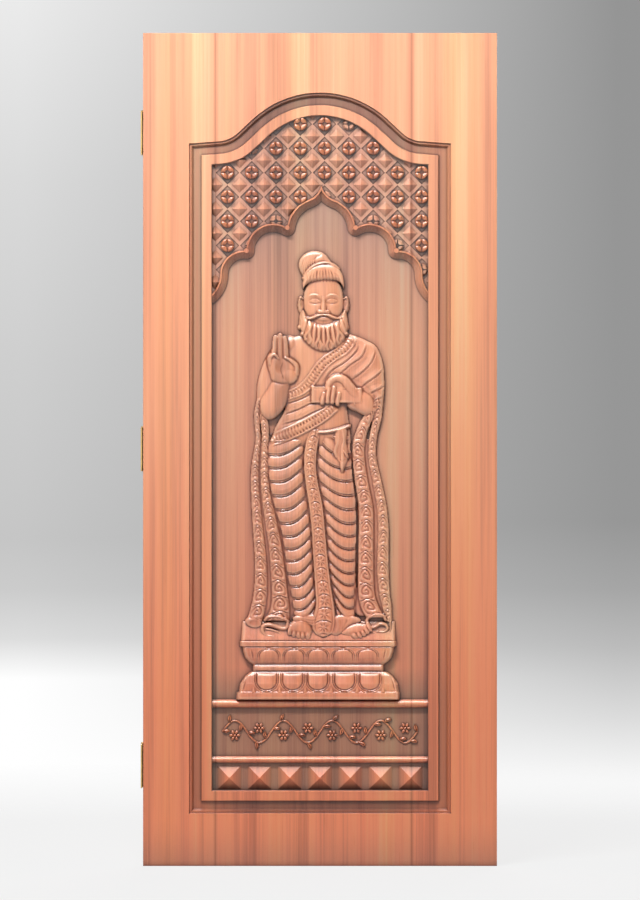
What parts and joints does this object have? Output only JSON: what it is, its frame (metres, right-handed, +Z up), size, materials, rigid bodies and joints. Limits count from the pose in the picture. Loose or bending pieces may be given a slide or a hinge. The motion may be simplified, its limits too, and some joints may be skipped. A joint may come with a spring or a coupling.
{
  "type": "carved temple door leaf",
  "caption": "Carved wooden temple door leaf with an arched sunk field, lattice spandrel, cusped rib, lotus pedestal and a standing robed figure in relief, hung on brass butt hinges.",
  "frame": {"origin": "bottom middle of the leaf, at mid-thickness", "axes": "+Z up, +X to the right of a viewer who faces the carved side, +Y from the carved face to the back"},
  "size_m": [0.9, 0.0635, 2.1],
  "materials": {
    "board_wood": "satin oil, vertical grain",
    "carved_wood": "satin oil, glazed hollows",
    "hinge_brass": "aged satin"
  },
  "bodies": {
    "jamb_hinges": {"jamb_flap_bottom": "hinge_brass", "jamb_flap_middle": "hinge_brass", "jamb_flap_top": "hinge_brass", "hinge_pin_bottom": "hinge_brass", "hinge_pin_middle": "hinge_brass", "hinge_pin_top": "hinge_brass"},
    "leaf": {"board_hinge_side": "board_wood", "board_middle": "board_wood", "board_lock_side": "board_wood", "loose_tongue_hinge_side": "board_wood", "loose_tongue_lock_side": "board_wood", "frame_moulding_left": "carved_wood", "frame_moulding_right": "carved_wood", "frame_moulding_head": "carved_wood", "frame_moulding_sill": "carved_wood", "arch_screen": "carved_wood", "arch_rib": "carved_wood", "bead_rail_upper": "carved_wood", "bead_rail_lower": "carved_wood", "pyramid_stud_1": "carved_wood", "pyramid_stud_2": "carved_wood", "pyramid_stud_3": "carved_wood", "pyramid_stud_4": "carved_wood", "pyramid_stud_5": "carved_wood", "pyramid_stud_6": "carved_wood", "pyramid_stud_7": "carved_wood", "pedestal": "carved_wood", "standing_figure": "carved_wood", "door_flap_bottom": "hinge_brass", "door_flap_middle": "hinge_brass", "door_flap_top": "hinge_brass", "flap_screws_bottom": "hinge_brass", "flap_screws_middle": "hinge_brass", "flap_screws_top": "hinge_brass"}
  },
  "joints": [
    {"name": "leaf_swing", "type": "hinge", "parent": "jamb_hinges", "child": "leaf", "pos_m": [-0.4475, 0.032, 0], "axis": [0, 0, 1], "range_deg": [0, 110]}
  ]
}
